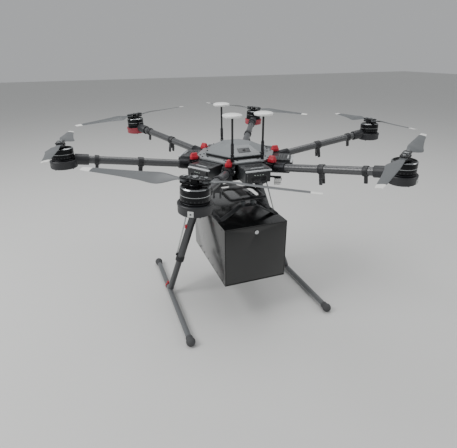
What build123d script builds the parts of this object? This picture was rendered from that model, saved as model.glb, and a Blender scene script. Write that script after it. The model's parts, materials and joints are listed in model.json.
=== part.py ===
from build123d import *
from math import atan, cos, degrees, hypot, radians
import os

# Folding-arm camera and cargo hexacopter: six arms round a hexagonal hub, a payload case
# under the hub and two retracting skid legs.  Millimetres, +X right, +Y nose, +Z up, with
# the origin at the centre of the payload bolt pattern on the underside of the lower deck.

# ---- driving dimensions -------------------------------------------------------------
MOTOR_CIRCLE_R = 566.5          # centre of the hub to each motor, wheelbase 1133
PROP_PLANE_Z = 144.0            # height of the propeller hubs
PROP_R = 266.7                  # 21 inch propeller
MOTOR_CANT = 2.5                # sideways lean of the motors, alternate arms, for yaw

ARM_PIVOT_R = 155.0             # fold pivot of an arm
ARM_PIVOT_Z = 37.0
ARM_RISE = 8.1                  # upward slope of the arms, degrees
TUBE_R = 12.5                   # arm tube
TUBE_WALL = 1.6                 # wall of the arm, leg and skid tubes

DECK_R = 138.0                  # lower deck, corner to centre
DECK_T = 3.0
PLATE_R = 150.0                 # upper plate, corner to centre
PLATE_Z = 57.0
PLATE_T = 6.0
COVER_Z = 72.0                  # underside of the grey cover
COVER_TOP_Z = 100.0
COVER_BASE_R = 115.0
COVER_TOP_R = 57.0

BATTERY_OUT_R = 202.0           # outer end of a battery from the centre
BATTERY_W = 88.0
BATTERY_Z = (8.0, 55.5)

LEG_PIVOT = (102.0, 55.0, -41.0)
SKID_X = 265.0
SKID_Z = -492.5
SKID_Y = (-269.0, 300.0)        # centres of the rubber ends
FOOT_R = 16.0

CASE_X = 114.7                  # half width
CASE_Y = (-194.8, 178.5)
CASE_Z = (-356.4, -139.8)
SHEET = 2.5                     # case wall

PIN_GAP = 0.05                  # radial running clearance of the hinge pins

ARMS = {
    "right": 0,
    "front_right": 60,
    "front_left": 120,
    "left": 180,
    "rear_left": 240,
    "rear_right": 300,
}
# heading of each propeller as it was left standing
PROP_HEADING = {
    "right": 83.4,
    "front_right": 130.2,
    "front_left": 204.8,
    "left": 264.4,
    "rear_left": 328.0,
    "rear_right": 35.9,
}
# foot of each antenna mast
MASTS = {
    "front": (0.0, 151.0),
    "rear_left": (-58.0, -118.0),
    "rear_right": (50.0, -114.0),
}
MAST_PIVOT_Z = 84.0
MAST_TOP_Z = 218.0


# ---- helpers ------------------------------------------------------------------------
def rod(radius, low, high):
    """Upright round bar between two heights."""
    return Pos(0, 0, (low + high) / 2) * Cylinder(radius, high - low)


def bar_x(radius, low, high):
    """Round bar along X."""
    return Pos((low + high) / 2, 0, 0) * Rot(0, 90, 0) * Cylinder(radius, high - low)


def bar_y(radius, low, high):
    """Round bar along Y."""
    return Pos(0, (low + high) / 2, 0) * Rot(90, 0, 0) * Cylinder(radius, high - low)


def block(x, y, z):
    """Box between two corners given as (low, high) pairs."""
    size = (x[1] - x[0], y[1] - y[0], z[1] - z[0])
    centre = ((x[0] + x[1]) / 2, (y[0] + y[1]) / 2, (z[0] + z[1]) / 2)
    return Pos(*centre) * Box(*size)


def tube(outer, inner, low, high):
    """Upright round tube between two heights."""
    return rod(outer, low, high) - rod(inner, low - 1, high + 1)


def hex_plate(corner_r, low, high):
    """Hexagonal plate with its corners under the arms."""
    return Pos(0, 0, low) * extrude(RegularPolygon(corner_r, 6), high - low)


def edges_along(shape, axis, radius):
    """Round every edge that runs along an axis."""
    return fillet(shape.edges().filter_by(axis), radius)


def save(name, *solids):
    """Write one sub-part as STEP, its pieces as separate solids."""
    pieces = []
    for item in solids:
        pieces += list(item.solids())
    export_step(Compound(children=pieces), f"parts/{name}.step")


def arm_frame(angle):
    """Frame of an arm: X out along the tube from the fold pivot, Y along the pivot."""
    return Rot(0, 0, angle) * Pos(ARM_PIVOT_R, 0, ARM_PIVOT_Z) * Rot(0, -ARM_RISE, 0)


def cant(angle):
    """Lean of the motor on an arm: to alternate sides round the hub."""
    return MOTOR_CANT if (angle // 60) % 2 == 0 else -MOTOR_CANT


def motor_frame(angle):
    """Frame of a motor: Z up its shaft, origin at the propeller hub."""
    spot = Rot(0, 0, angle) * Pos(MOTOR_CIRCLE_R, 0, PROP_PLANE_Z)
    return spot * Rot(-cant(angle), 0, 0)


# ---- arms ---------------------------------------------------------------------------
TUBE_START = 24.0
TUBE_END = 372.0
KNUCKLE_HALF = 13.5
EAR_OUT = 20.0
PIN_R = 4.0
HOLDER_AT = 182.0               # collar of the propeller holder along the tube
TAB_AT = 318.0                  # clamp with a downward tab, close to the motor


def arm():
    """Carbon tube, root knuckle, hinge pin, propeller holder and outer clamp."""
    bare = bar_x(TUBE_R, TUBE_START, TUBE_END)
    carbon = bare - bar_x(TUBE_R - TUBE_WALL, TUBE_START - 1, TUBE_END + 1)

    eye = bar_y(11, -KNUCKLE_HALF, KNUCKLE_HALF)
    neck = block((0, 18), (-KNUCKLE_HALF, KNUCKLE_HALF), (-9, 9))
    socket = bar_x(16, 17, 54)
    knuckle = eye + neck + socket - bare
    knuckle -= bar_y(PIN_R, -40, 40)
    pin = bar_y(PIN_R, -EAR_OUT - 2, EAR_OUT + 2)

    ring = bar_x(15.5, HOLDER_AT - 9, HOLDER_AT + 9)
    stem = block((HOLDER_AT - 6, HOLDER_AT + 6), (-9, 9), (-30, -8))
    prongs = block((HOLDER_AT - 5, HOLDER_AT + 5), (-11.5, 11.5), (-47, -26))
    gap = block((HOLDER_AT - 6, HOLDER_AT + 6), (-7, 7), (-48, -31))
    holder = ring + stem + prongs - gap - bare

    clamp = bar_x(15.5, TAB_AT - 7, TAB_AT + 7)
    tab = block((TAB_AT - 5, TAB_AT + 5), (-3, 3), (-36, -10))
    clamp = clamp + tab - bare
    return carbon, knuckle, pin, holder, clamp


# ---- motor pods ---------------------------------------------------------------------
POD_R = 37.0
POD_TOP = -52.0
POD_BOTTOM = -77.0
BELL_R = 33.5
BELL_LOW = -46.0
BELL_TOP = -15.0
SHAFT_R = 4.0


def motor_pod(angle):
    """Speed-controller housing with its tube socket, the stator and the light window."""
    shell = rod(POD_R, POD_BOTTOM, POD_TOP)
    shell = fillet(shell.edges().group_by(Axis.Z)[0], 5)
    lip = rod(POD_R + 1.5, POD_TOP - 6, POD_TOP)
    housing = motor_frame(angle) * (shell + lip)
    neck = arm_frame(angle) * bar_x(17, 342, 395)
    above = motor_frame(angle) * rod(BELL_R + 3, POD_TOP, 20)
    bore = arm_frame(angle) * bar_x(TUBE_R, 0, TUBE_END)
    housing = housing + (neck - above) - bore

    base = rod(BELL_R, POD_TOP, BELL_LOW - 1.5)
    stator = base + rod(27, BELL_LOW - 1.5, -22) - rod(SHAFT_R + PIN_GAP, -60, 0)
    window = block((POD_R - 2, POD_R + 3), (-6.5, 6.5), (-73, -60))
    rotated = motor_frame(angle) * window
    return housing - rotated, motor_frame(angle) * stator, rotated


# ---- rotors and folding propellers --------------------------------------------------
BLADE_PIN_X = 24.0
BLADE_PIN_R = 2.5
EYE_R = 9.5
BLADE_Z = (-6.0, 0.0)


def rotor():
    """Bell, shaft, clamp plates and blade bolts, with the propeller line along X."""
    bell = rod(BELL_R, BELL_LOW, BELL_TOP)
    bell = fillet(bell.edges().group_by(Axis.Z)[-1], 4)
    bell -= rod(BELL_R - 4, BELL_LOW - 1, BELL_TOP - 4)
    shaft = rod(SHAFT_R, BELL_LOW, BELL_TOP - 2)
    boss = rod(15, BELL_TOP - 1, -10)
    turning = bell + shaft + boss

    outline = SlotOverall(2 * BLADE_PIN_X + 22, 22)
    lower = Pos(0, 0, -10) * extrude(outline, 3.7)
    upper = Pos(0, 0, 0.3) * extrude(outline, 3)
    core = rod(9, -6.3, 0.3)
    hub = lower + upper + core
    bolts = []
    for side in (-1, 1):
        spot = Pos(side * BLADE_PIN_X, 0, 0)
        hub -= spot * rod(BLADE_PIN_R, -20, 20)
        bolts.append(spot * (rod(BLADE_PIN_R, -10, 3.3) + rod(4.2, 3.3, 6)))
    cap = rod(7, 3.3, 6.5)
    return turning, hub, cap, *bolts


# distance from the blade bolt, chord, thickness, pitch and sweep of the chord centre
BLADE_STATIONS = (
    (8.0, 15.0, 5.4, 0.0, 0.0),
    (15.0, 15.0, 5.4, 4.0, 0.0),
    (36.0, 26.0, 5.0, 15.0, -2.0),
    (70.0, 41.0, 4.2, 16.0, -5.0),
    (130.0, 34.0, 3.2, 11.0, -2.5),
    (200.0, 25.0, 2.4, 8.0, 0.0),
    (PROP_R - BLADE_PIN_X, 16.0, 1.8, 6.0, 1.0),
)
BLADE_MID_Z = -3.0


def blade_section(reach, chord, thick, pitch, sweep, turn):
    """Lens-shaped section across the blade; turn is 1 or -1 for the sense of spin."""
    half = chord / 2
    nose = (half, 0)
    tail = (-half, 0)
    crown = (half * 0.2, thick / 2)
    belly = (half * 0.2, -thick / 2)
    outline = ThreePointArc(tail, crown, nose) + ThreePointArc(nose, belly, tail)
    face = make_face(outline)
    place = Pos(reach, turn * sweep, BLADE_MID_Z) * Rot(turn * pitch, 0, 0)
    return place * Plane.YZ.location * (Rot(0, 0, 0 if turn > 0 else 180) * face)


def blade(turn):
    """One folding blade, its bolt eye at the origin and its length along X."""
    sections = [blade_section(*row, turn) for row in BLADE_STATIONS]
    wing = loft(sections)
    eye = rod(EYE_R, *BLADE_Z)
    return eye + wing - rod(BLADE_PIN_R + PIN_GAP, -20, 20)


# ---- centre frame -------------------------------------------------------------------
EAR_IN = KNUCKLE_HALF + 0.7
BRIDGE_Z = (49.2, 53.0)
KNOB_R = 154.0
KNOB_Z = (56.0, 76.0)
STUD_CLEARANCE = 1.8            # end of the knob stud above the underside of the bridge


def arm_mount():
    """Fork that carries an arm, with the column that ties the decks together."""
    column = block((104, 138), (-9, 9), (DECK_T, PLATE_Z))
    web = block((129, 139), (-EAR_OUT, EAR_OUT), (24, PLATE_Z))
    body = column + web
    for side in (-1, 1):
        mid = side * (EAR_IN + EAR_OUT) / 2
        thick = EAR_OUT - EAR_IN
        cheek = block((136, ARM_PIVOT_R), (mid - thick / 2, mid + thick / 2), (24, 53))
        disc = Pos(ARM_PIVOT_R, mid, ARM_PIVOT_Z) * Rot(90, 0, 0) * Cylinder(13, thick)
        body += cheek + disc
    body += block((136, 167), (-EAR_OUT, EAR_OUT), BRIDGE_Z)
    bore = Pos(ARM_PIVOT_R, 0, ARM_PIVOT_Z) * bar_y(PIN_R + PIN_GAP, -40, 40)
    stud_hole = Pos(KNOB_R, 0, 0) * rod(3, 40, 60)
    return body - bore - stud_hole


def centre_frame():
    """Upper plate, six arm mounts and the posts of the antenna masts."""
    plate = hex_plate(PLATE_R, PLATE_Z, PLATE_Z + PLATE_T)
    for angle in ARMS.values():
        plate -= Rot(0, 0, angle) * block((137, 160), (-30, 30), (50, 70))
    plate += block((-9, 9), (120, 158), (PLATE_Z, PLATE_Z + PLATE_T))
    mounts = [Rot(0, 0, angle) * arm_mount() for angle in ARMS.values()]
    posts = [mast_post(*foot) for foot in MASTS.values()]
    return plate, *mounts, *posts


def mast_post(x, y):
    """Round post with two ears that hold the foot of an antenna mast."""
    post = rod(5, PLATE_Z + PLATE_T, 77)
    for ear in (-1, 1):
        low, high = sorted((ear * 2.5, ear * 4.7))
        cheek = block((low, high), (-4, 4), (76, MAST_PIVOT_Z))
        tip = Pos((low + high) / 2, 0, MAST_PIVOT_Z) * Rot(0, 90, 0) * Cylinder(4, 2.2)
        post += cheek + tip
    post -= Pos(0, 0, MAST_PIVOT_Z) * bar_x(1.5 + PIN_GAP, -10, 10)
    return Pos(x, y, 0) * post


def mast(x, y):
    """Folding mast with its foot, pin and the round white antenna."""
    foot = Rot(0, 90, 0) * Cylinder(3.9, 4.6)
    shank = block((-2.3, 2.3), (-2.6, 2.6), (0, 7))
    collar = rod(5.2, 6.0, 34)
    pin = bar_x(1.5, -6, 6)
    stem = foot + shank + collar - bar_x(1.5, -7, 7)
    pole = rod(3.5, 34, MAST_TOP_Z - MAST_PIVOT_Z - 13)
    cup = rod(31, MAST_TOP_Z - MAST_PIVOT_Z - 13, MAST_TOP_Z - MAST_PIVOT_Z)
    cup = chamfer(cup.edges().group_by(Axis.Z)[-1], 4.5)
    cup = fillet(cup.edges().group_by(Axis.Z)[0], 2.5)
    spot = Pos(x, y, MAST_PIVOT_Z)
    return spot * stem, spot * pin, spot * pole, spot * cup


def lock_knob():
    """Red wing knob on top of an arm mount, with its stud."""
    base = edges_along(Box(28, 21, 9), Axis.Z, 7)
    grip = loft([
        Pos(0, 0, 4) * RectangleRounded(26, 17, 5),
        Pos(0, 0, 15) * RectangleRounded(21, 9, 4),
    ])
    stud = rod(3 - PIN_GAP, BRIDGE_Z[0] + STUD_CLEARANCE, KNOB_Z[0])
    spot = Pos(KNOB_R, 0, 0)
    body = Pos(KNOB_R, 0, KNOB_Z[0] + 4.5) * (base + grip)
    washer = spot * (rod(6, BRIDGE_Z[1], KNOB_Z[0]) - rod(3, 40, 70))
    return body, spot * stud, washer


# ---- top cover and electronics ------------------------------------------------------
COVER_WALL = 2.5
SKIRT = 3.0
GASKET_R = 111.0
COVER_RUN = (COVER_BASE_R - COVER_TOP_R) * cos(radians(30))
COVER_SLOPE = degrees(atan((COVER_TOP_Z - COVER_Z - SKIRT) / COVER_RUN))
PANEL_R = (COVER_BASE_R + COVER_TOP_R) / 2 * cos(radians(30))
PANEL_Z = (COVER_Z + SKIRT + COVER_TOP_Z) / 2
PANEL = Pos(0, -PANEL_R, PANEL_Z) * Rot(COVER_SLOPE, 0, 0)      # Z out of the rear face
BUTTON_R = 5.0


def frustum(low_r, high_r, low, high):
    """Six-sided pyramid stump between two heights."""
    bottom = Pos(0, 0, low) * RegularPolygon(low_r, 6)
    top = Pos(0, 0, high) * RegularPolygon(high_r, 6)
    return loft([bottom, top])


def top_cover():
    """Hollow grey cover, open below, with a panel let into its rear face."""
    skirt = hex_plate(COVER_BASE_R, COVER_Z, COVER_Z + SKIRT)
    outer = skirt + frustum(COVER_BASE_R, COVER_TOP_R, COVER_Z + SKIRT, COVER_TOP_Z)
    inner = frustum(COVER_BASE_R - 6, COVER_TOP_R - 4, COVER_Z - 0.1, COVER_TOP_Z - COVER_WALL)
    recess = PANEL * Box(44, 24, 2)
    hole = PANEL * Cylinder(BUTTON_R + 0.3, 20)
    return outer - inner - recess - hole


def cover_gasket():
    """Dark band between the upper plate and the cover."""
    low = PLATE_Z + PLATE_T
    return hex_plate(GASKET_R, low, COVER_Z) - hex_plate(GASKET_R - 7, low - 1, COVER_Z + 1)


def power_button():
    """Round button in the rear panel, with its stem."""
    return PANEL * (rod(BUTTON_R, -2.6, 1.6) + rod(2, -5, -2.6))


def electronics():
    """Flight controller under the cover, power board in the hub, radio box below."""
    low = PLATE_Z + PLATE_T
    controller = edges_along(block((-40, 40), (-28, 28), (low, low + 20)), Axis.Z, 4)
    board = hex_plate(50, DECK_T, DECK_T + 26)
    radio = edges_along(Rot(0, 0, 60) * block((-18, 18), (-12, 12), (-38, -16)), Axis.Z, 4)
    radio = Pos(124, -92, 0) * radio
    arm_plate = Pos(104, -78, -14.5) * Rot(0, 0, -37) * Box(70, 16, 3)
    stay = Pos(82, -62, 0) * rod(5, -13, 0)
    return controller, board, radio, arm_plate, stay


# ---- batteries ----------------------------------------------------------------------
BATTERY_SHOULDER_R = 113.0
BATTERY_IN_R = 62.0
BATTERY_IN_W = 40.0


def battery():
    """Smart battery that slides out between two arms, with its end grip and trim."""
    half = BATTERY_W / 2
    inner = BATTERY_IN_W / 2
    outline = Polyline(
        (BATTERY_IN_R, -inner), (BATTERY_SHOULDER_R, -half), (BATTERY_OUT_R - 8, -half),
        (BATTERY_OUT_R - 8, half), (BATTERY_SHOULDER_R, half), (BATTERY_IN_R, inner), close=True,
    )
    low, high = BATTERY_Z
    body = Pos(0, 0, low) * extrude(make_face(outline), high - low)
    body = fillet(body.edges().group_by(Axis.X)[-1], 4)
    end = block((BATTERY_OUT_R - 8, BATTERY_OUT_R), (-half + 4, half - 4), (low + 4, high - 9))
    end -= block((BATTERY_OUT_R - 5, BATTERY_OUT_R + 5), (-26, 26), (low + 10, low + 24))
    trim = block((BATTERY_OUT_R - 8, BATTERY_OUT_R), (-half + 4, half - 4), (high - 8, high - 4))
    return body, end, trim


# ---- lower deck and gear brackets ---------------------------------------------------
BOLT_SPACING = (60.0, 80.0)
BOLT_HOLE_R = 2.2
LEG_X, LEG_Y, LEG_Z = LEG_PIVOT
LEG_EAR_IN = 14.2
LEG_EAR_OUT = 19.5


def lower_deck():
    """Lower carbon plate with the payload bolt holes and the two gear brackets."""
    deck = hex_plate(DECK_R, 0, DECK_T)
    for x in (-1, 1):
        for y in (-1, 1):
            spot = Pos(x * BOLT_SPACING[0] / 2, y * BOLT_SPACING[1] / 2, 0)
            deck -= spot * rod(BOLT_HOLE_R, -1, 10)
    for angle in ARMS.values():
        deck -= Rot(0, 0, angle + 30) * block((84, 104), (-22, 22), (-1, 10))
    right = gear_bracket()
    return deck, right, mirror(right, Plane.YZ)


def gear_bracket():
    """Fork under the deck that carries a landing leg."""
    body = block((64, LEG_X + 2), (LEG_Y - LEG_EAR_OUT, LEG_Y + LEG_EAR_OUT), (-5, 0))
    for side in (-1, 1):
        inner, outer = sorted((LEG_Y + side * LEG_EAR_IN, LEG_Y + side * LEG_EAR_OUT))
        body += block((LEG_X - 24, LEG_X + 2), (inner, outer), (-28, -4))
        body += block((LEG_X - 12, LEG_X + 10), (inner, outer), (LEG_Z, -12))
        body += Pos(LEG_X, 0, LEG_Z) * bar_y(13, inner, outer)
    return body - Pos(LEG_X, 0, LEG_Z) * bar_y(PIN_R + PIN_GAP, 0, 100)


# ---- landing legs -------------------------------------------------------------------
LEG_RUN = SKID_X - LEG_X
LEG_DROP = LEG_Z - SKID_Z
LEG_LENGTH = hypot(LEG_RUN, LEG_DROP)
LEG_LEAN = degrees(atan(LEG_RUN / LEG_DROP))
SLEEVE_END = 335.0
LEG_R = 12.0
SLEEVE_R = 15.0
SKID_R = 10.0
# Z of this frame runs down the right leg from its pivot, X points outwards
LEG = Pos(*LEG_PIVOT) * Rot(0, 180 - LEG_LEAN, 0) * Rot(0, 0, 180)


def leg():
    """Right leg: knuckle, sleeve, lower tube, lock, gas strut, tee and skid tube."""
    eye = bar_y(12, -13.5, 13.5)
    neck = block((-9, 9), (-13.5, 13.5), (0, 24))
    knuckle = LEG * (eye + neck - bar_y(PIN_R, -40, 40))
    pin = LEG * bar_y(PIN_R, -22, 22)
    sleeve = LEG * tube(SLEEVE_R, LEG_R, 24, SLEEVE_END - 12)
    collar = LEG * (rod(17, SLEEVE_END - 12, SLEEVE_END + 8) - rod(LEG_R, 0, 400))
    shank = LEG * tube(LEG_R, LEG_R - TUBE_WALL, 60, LEG_LENGTH - 8)

    crank = LEG * (block((10, 36), (-3, 3), (44, 56)) - rod(SLEEVE_R, 20, 80))
    foot = LEG * (block((10, 22), (-3, 3), (312, 322)) - rod(SLEEVE_R, 300, 330))
    strut = Line((33, 0, 57), (19, 0, 311))
    strut = LEG * sweep(Plane(strut @ 0, z_dir=strut % 0) * Circle(2.6), strut)

    skid_line = Pos(SKID_X, 0, SKID_Z)
    hollow = bar_y(SKID_R - TUBE_WALL, SKID_Y[0] + 20, SKID_Y[1] - 20)
    skid = skid_line * (bar_y(SKID_R, *SKID_Y) - hollow)
    tee = skid_line * bar_y(15, LEG_Y - 28, LEG_Y + 28)
    tee += LEG * rod(15, LEG_LENGTH - 46, LEG_LENGTH)
    tee = tee - LEG * rod(LEG_R, 0, LEG_LENGTH - 8) - skid_line * bar_y(SKID_R, *SKID_Y)
    clip = block((8, 19), (-7, 7), (190, 204)) - rod(SLEEVE_R, 100, 300)
    lock = bar_y(12.5, -4, 4) + block((-4, 4), (-4, 4), (8, 20))
    lock = skid_line * (Pos(0, LEG_Y + 35, 0) * lock - bar_y(SKID_R, *SKID_Y))
    return knuckle, pin, sleeve, collar, shank, crank, foot, strut, skid, tee, LEG * clip, lock


def feet():
    """Rubber ends of the right skid, pushed over the tube."""
    line = Pos(SKID_X, 0, SKID_Z)
    ends = []
    for y in SKID_Y:
        ends.append(Pos(SKID_X, y, SKID_Z) * Sphere(FOOT_R) - line * bar_y(SKID_R, *SKID_Y))
    return ends


# ---- payload hanger -----------------------------------------------------------------
HANGER_Z = -73.0                # underside of the damper plate
WING_TOP = (28.0, -94.0)        # outer end and height of the flat top of a bridge
WING_FOOT = (98.0, -136.8)
BRIDGE_Y = 115.0
BRIDGE_W = 26.0
STRIP_T = 3.0


def damper_plate():
    """Plate with oval openings on four standoffs, and its rubber dampers below."""
    plate = block((-70, 70), (-128, 128), (HANGER_Z, HANGER_Z + 4))
    plate = edges_along(plate, Axis.Z, 12)
    oval = Rot(0, 0, 90) * SlotOverall(92, 40)
    for x in (-1, 1):
        for y in (-1, 1):
            plate -= Pos(x * 36, y * 56, HANGER_Z - 1) * extrude(oval, 6)
    pieces = [plate]
    for x in (-1, 1):
        for y in (-1, 1):
            pieces.append(Pos(x * 62, y * 4, 0) * rod(4, HANGER_Z + 4, 0))
            damper = rod(7, WING_TOP[1], HANGER_Z) - tube(9, 5, WING_TOP[1] + 8, HANGER_Z - 8)
            pieces.append(Pos(x * 18, y * BRIDGE_Y, 0) * damper)
    return pieces


def case_bracket():
    """Two bent bridges on side rails, bolted to the top of the case."""
    run = WING_FOOT[0] - WING_TOP[0]
    drop = WING_TOP[1] - WING_FOOT[1]
    slope = degrees(atan(drop / run))
    body = None
    for y in (-BRIDGE_Y, BRIDGE_Y):
        span = (y - BRIDGE_W / 2, y + BRIDGE_W / 2)
        flat = block((-WING_TOP[0], WING_TOP[0]), span, (WING_TOP[1] - STRIP_T, WING_TOP[1]))
        body = flat if body is None else body + flat
        for side in (-1, 1):
            mid_x = side * (WING_FOOT[0] + WING_TOP[0]) / 2
            mid_z = (WING_FOOT[1] + WING_TOP[1]) / 2 - STRIP_T / 2
            wing = Box(hypot(run, drop), BRIDGE_W, STRIP_T)
            body += Pos(mid_x, y, mid_z) * Rot(0, side * slope, 0) * wing
    for side in (-1, 1):
        rail = sorted((side * (WING_FOOT[0] - 2), side * (CASE_X - 1)))
        top = WING_FOOT[1]
        body += block(rail, (-BRIDGE_Y - BRIDGE_W / 2, BRIDGE_Y + BRIDGE_W / 2), (top - STRIP_T, top))
    return body


# ---- payload case -------------------------------------------------------------------
DOOR_GAP = 1.0
DOOR_PIVOT = (CASE_Y[0] + 3.5, CASE_Z[0] + 6.5)     # Y, Z of the hinge along the bottom edge
LOCK_Z = -164.0
LOCK_R = 5.0


def case_shell():
    """Folded sheet case, open at the rear, with a keeper for the lock."""
    outer = block((-CASE_X, CASE_X), CASE_Y, CASE_Z)
    inner = block(
        (-CASE_X + SHEET, CASE_X - SHEET),
        (CASE_Y[0] - 1, CASE_Y[1] - SHEET),
        (CASE_Z[0] + SHEET, CASE_Z[1] - SHEET),
    )
    keeper = block((-12, 12), (CASE_Y[0] + 4.6, CASE_Y[0] + 6.6), (CASE_Z[1] - 10, CASE_Z[1] - SHEET))
    pin_hole = Pos(0, *DOOR_PIVOT) * bar_x(2 + PIN_GAP, -130, 130)
    return outer - inner + keeper - pin_hole


def case_door():
    """Drop-down rear door with its hinge barrel and stub pins."""
    half = CASE_X - SHEET - DOOR_GAP
    y, z = DOOR_PIVOT
    panel = block((-half, half), (CASE_Y[0], CASE_Y[0] + SHEET), (z, CASE_Z[1] - SHEET - DOOR_GAP))
    barrel = Pos(0, y, z) * bar_x(3.5, -half, half)
    pins = Pos(0, y, z) * bar_x(2, -CASE_X, CASE_X)
    hole = Pos(0, 0, LOCK_Z) * bar_y(LOCK_R + PIN_GAP, -250, -150)
    return panel + barrel + pins - hole


def door_lock():
    """Quarter-turn lock with its face disc and cam."""
    face = CASE_Y[0]
    disc = bar_y(7, face - 2, face - 0.1) - block((-1, 1), (face - 3, face - 1), (-5, 5))
    barrel = bar_y(LOCK_R, face - 1, face + 9)
    nut = bar_y(7.5, face + SHEET + 0.1, face + 6.5)
    cam = edges_along(block((-5, 20), (face + 7.2, face + 9), (-5, 5)), Axis.Y, 4)
    return Pos(0, 0, LOCK_Z) * (disc + barrel + nut + cam)


# ---- write the parts ----------------------------------------------------------------
os.makedirs("parts", exist_ok=True)

for arm_name, arm_angle in ARMS.items():
    around = Rot(0, 0, arm_angle)
    spin = 1 if cant(arm_angle) > 0 else -1
    hub_frame = motor_frame(arm_angle) * Rot(0, 0, PROP_HEADING[arm_name] - arm_angle)
    save(f"arm_{arm_name}", *[arm_frame(arm_angle) * piece for piece in arm()])
    save(f"motor_pod_{arm_name}", *motor_pod(arm_angle))
    save(f"rotor_{arm_name}", *[hub_frame * piece for piece in rotor()])
    save(f"blade_a_{arm_name}", hub_frame * Pos(BLADE_PIN_X, 0, 0) * blade(spin))
    save(f"blade_b_{arm_name}", hub_frame * Rot(0, 0, 180) * Pos(BLADE_PIN_X, 0, 0) * blade(spin))
    save(f"arm_lock_{arm_name}", *[around * piece for piece in lock_knob()])

for number, arm_angle in enumerate(ARMS.values(), start=1):
    save(f"battery_{number}", *[Rot(0, 0, arm_angle + 30) * piece for piece in battery()])

for mast_name, mast_foot in MASTS.items():
    save(f"antenna_mast_{mast_name}", *mast(*mast_foot))

save("centre_frame", *centre_frame())
save("lower_deck", *lower_deck())
save("top_cover", top_cover())
save("cover_gasket", cover_gasket())
save("power_button", power_button())
save("electronics", *electronics())
save("damper_plate", *damper_plate())
save("case_bracket", case_bracket())
save("case_shell", case_shell())
save("case_door", case_door())
save("door_lock", door_lock())
save("leg_right", *leg())
save("leg_left", *[mirror(piece, Plane.YZ) for piece in leg()])
save("feet_right", *feet())
save("feet_left", *[mirror(piece, Plane.YZ) for piece in feet()])
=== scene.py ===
import json
import math

import bmesh
import bpy
from mathutils import Matrix, Vector


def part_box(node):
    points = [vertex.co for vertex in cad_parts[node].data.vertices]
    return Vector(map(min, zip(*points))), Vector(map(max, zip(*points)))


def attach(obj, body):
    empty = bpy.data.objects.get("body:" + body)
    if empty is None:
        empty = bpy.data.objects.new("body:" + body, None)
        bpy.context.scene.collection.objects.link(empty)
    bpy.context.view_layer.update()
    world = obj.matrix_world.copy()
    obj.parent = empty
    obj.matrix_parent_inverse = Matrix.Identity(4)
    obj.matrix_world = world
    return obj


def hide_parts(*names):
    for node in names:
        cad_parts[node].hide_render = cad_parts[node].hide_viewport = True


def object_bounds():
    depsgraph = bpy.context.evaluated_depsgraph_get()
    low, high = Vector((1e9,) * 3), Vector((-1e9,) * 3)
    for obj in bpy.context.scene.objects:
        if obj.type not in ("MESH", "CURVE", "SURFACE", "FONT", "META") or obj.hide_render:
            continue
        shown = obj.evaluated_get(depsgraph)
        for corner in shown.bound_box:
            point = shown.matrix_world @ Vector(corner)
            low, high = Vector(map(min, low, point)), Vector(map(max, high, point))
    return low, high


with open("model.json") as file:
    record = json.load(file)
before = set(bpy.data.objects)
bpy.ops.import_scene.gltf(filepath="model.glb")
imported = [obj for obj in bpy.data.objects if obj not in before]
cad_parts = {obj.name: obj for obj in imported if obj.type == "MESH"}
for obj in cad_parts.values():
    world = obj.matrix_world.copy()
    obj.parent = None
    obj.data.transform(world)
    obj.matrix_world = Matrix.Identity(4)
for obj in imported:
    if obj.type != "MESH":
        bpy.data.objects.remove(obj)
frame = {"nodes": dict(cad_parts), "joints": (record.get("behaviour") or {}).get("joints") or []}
cad_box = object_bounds()
scene = bpy.context.scene
joints = {joint["name"]: joint for joint in frame["joints"]}


# ---- Studio -------------------------------------------------------------------------
# A pale painted floor under the skids and large soft boxes above and to the left. The
# camera stands behind the aircraft on its left, a little above the propellers.
def linear(colour):
    """Linear RGBA of an sRGB hex colour."""
    parts = [int(colour[i:i + 2], 16) / 255 for i in (1, 3, 5)]
    return [c / 12.92 if c < 0.04045 else ((c + 0.055) / 1.055) ** 2.4 for c in parts] + [1.0]


def add(tree, kind, links={}, **settings):
    """One node in a tree: settings are its properties, links its inputs by name or number."""
    made = tree.nodes.new(kind)
    for key, value in settings.items():
        setattr(made, key, value)
    for key, value in links.items():
        if isinstance(value, bpy.types.NodeSocket):
            tree.links.new(value, made.inputs[key])
        else:
            made.inputs[key].default_value = value
    return made


def soft_box(name, place, aim, size, power):
    lamp = bpy.data.lights.new(name, "AREA")
    lamp.shape = "RECTANGLE"
    lamp.size, lamp.size_y = size
    lamp.energy = power
    made = bpy.data.objects.new(name, lamp)
    scene.collection.objects.link(made)
    made.location = place
    made.rotation_euler = (Vector(aim) - Vector(place)).to_track_quat("-Z", "Y").to_euler()


floor_z = cad_box[0].z
floor_mesh = bpy.data.meshes.new("studio_floor")
FLOOR = 14.0
corners = [(x * FLOOR, y * FLOOR, floor_z) for x, y in ((-1, -1), (1, -1), (1, 1), (-1, 1))]
floor_mesh.from_pydata(corners, [], [(0, 1, 2, 3)])
floor = bpy.data.objects.new("studio_floor", floor_mesh)
scene.collection.objects.link(floor)

# rolled matt floor paint: pale, with no reflections to compete with the aircraft
painted_floor = bpy.data.materials.new("matt floor paint")
painted_floor.use_nodes = True
paint = painted_floor.node_tree
rolled = add(paint, "ShaderNodeTexNoise", {"Scale": 900.0, "Detail": 2.0})
paint_bump = add(
    paint, "ShaderNodeBump", {"Strength": 0.1, "Distance": 0.0005, "Height": rolled.outputs["Fac"]}
)
paint_shader = paint.nodes["Principled BSDF"]
paint_shader.inputs["Base Color"].default_value = linear("#d4d4d2")
paint_shader.inputs["Roughness"].default_value = 0.75
paint.links.new(paint_bump.outputs["Normal"], paint_shader.inputs["Normal"])
floor_mesh.materials.append(painted_floor)

world = bpy.data.worlds.new("studio_air")
scene.world = world
world.use_nodes = True
world.node_tree.nodes["Background"].inputs["Color"].default_value = linear("#dfe1e3")
world.node_tree.nodes["Background"].inputs["Strength"].default_value = 0.6

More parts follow.
